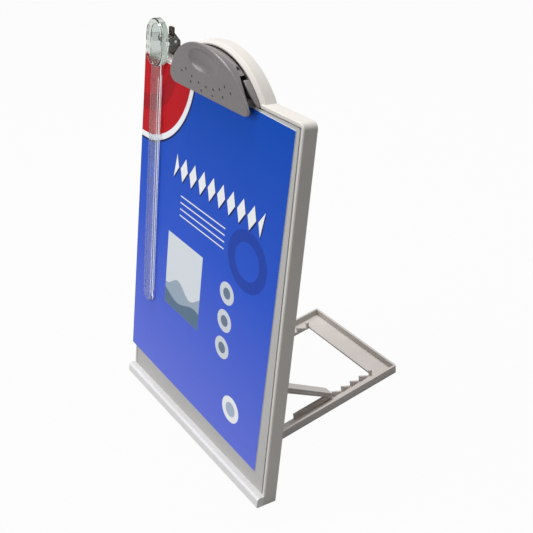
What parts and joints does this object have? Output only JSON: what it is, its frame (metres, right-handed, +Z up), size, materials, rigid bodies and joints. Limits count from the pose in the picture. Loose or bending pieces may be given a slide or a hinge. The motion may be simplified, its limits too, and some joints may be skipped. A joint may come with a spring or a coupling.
{
  "type": "copy holder",
  "caption": "Desk copy holder: leaning board with a ledge, sprung half-moon paper clip, sliding clear line guide and a folding stand with a notched strut.",
  "frame": {"origin": "middle of the footprint, on the table", "axes": "+Z up, +Y to the rear of the board, +X to the right as the sheet is read"},
  "size_m": [0.225, 0.1994, 0.3559],
  "materials": {
    "shell": "light warm grey moulded plastic, satin gloss",
    "panel": "light warm grey moulded plastic, smooth",
    "ledge": "light grey moulded plastic",
    "clip_grey": "mid grey moulded plastic, satin gloss",
    "stand": "warm grey moulded plastic, satin",
    "clear": "clear moulded plastic, polished",
    "clamp": "dark grey moulded plastic",
    "plated": "plated steel pin",
    "spring": "bright spring wire",
    "steel": "zinc plated screw",
    "pad": "soft matt strip",
    "sheet": null
  },
  "bodies": {
    "board": {"back_shell": "shell", "top_arch": "shell", "front_panel": "panel", "bottom_ledge": "ledge", "panel_screws": "steel", "document_sheet": "sheet", "clip_base": "clip_grey", "clip_screws": "steel", "clip_pin": "plated", "clip_spring": "spring", "stand_pins": "plated", "strut_pins": "plated"},
    "clip": {"clip_lever": "clip_grey", "clip_pad": "pad"},
    "guide": {"guide_strip": "clear", "guide_head": "clear", "guide_pin": "plated", "guide_spring": "spring"},
    "guide_clamp": {"guide_rear_lever": "clamp"},
    "stand": {"stand_frame": "stand"},
    "support": {"strut": "stand"}
  },
  "joints": [
    {"name": "stand_hinge", "type": "hinge", "parent": "board", "child": "stand", "pos_m": [0.00248, -0.08372, 0.00793], "axis": [1, 0, 0], "range_deg": [-10, 0]},
    {"name": "strut_hinge", "type": "hinge", "parent": "board", "child": "support", "pos_m": [0.00248, -0.06823, 0.07732], "axis": [1, 0, 0], "range_deg": [0, 113]},
    {"name": "clip_hinge", "type": "hinge", "parent": "board", "child": "clip", "pos_m": [0.00248, -0.01985, 0.34186], "axis": [1, 0, 0], "range_deg": [-20, 0], "stiffness_Nm_per_rad": 0.25, "springref_deg": 20.05},
    {"name": "guide_slide", "type": "slide", "parent": "board", "child": "guide", "axis": [1, 0, 0], "range_m": [-0.012, 0.009]},
    {"name": "guide_clamp_hinge", "type": "hinge", "parent": "guide", "child": "guide_clamp", "pos_m": [-0.08152, -0.01003, 0.33452], "axis": [1, 0, 0], "range_deg": [0, 25], "stiffness_Nm_per_rad": 0.05, "springref_deg": -22.92}
  ]
}
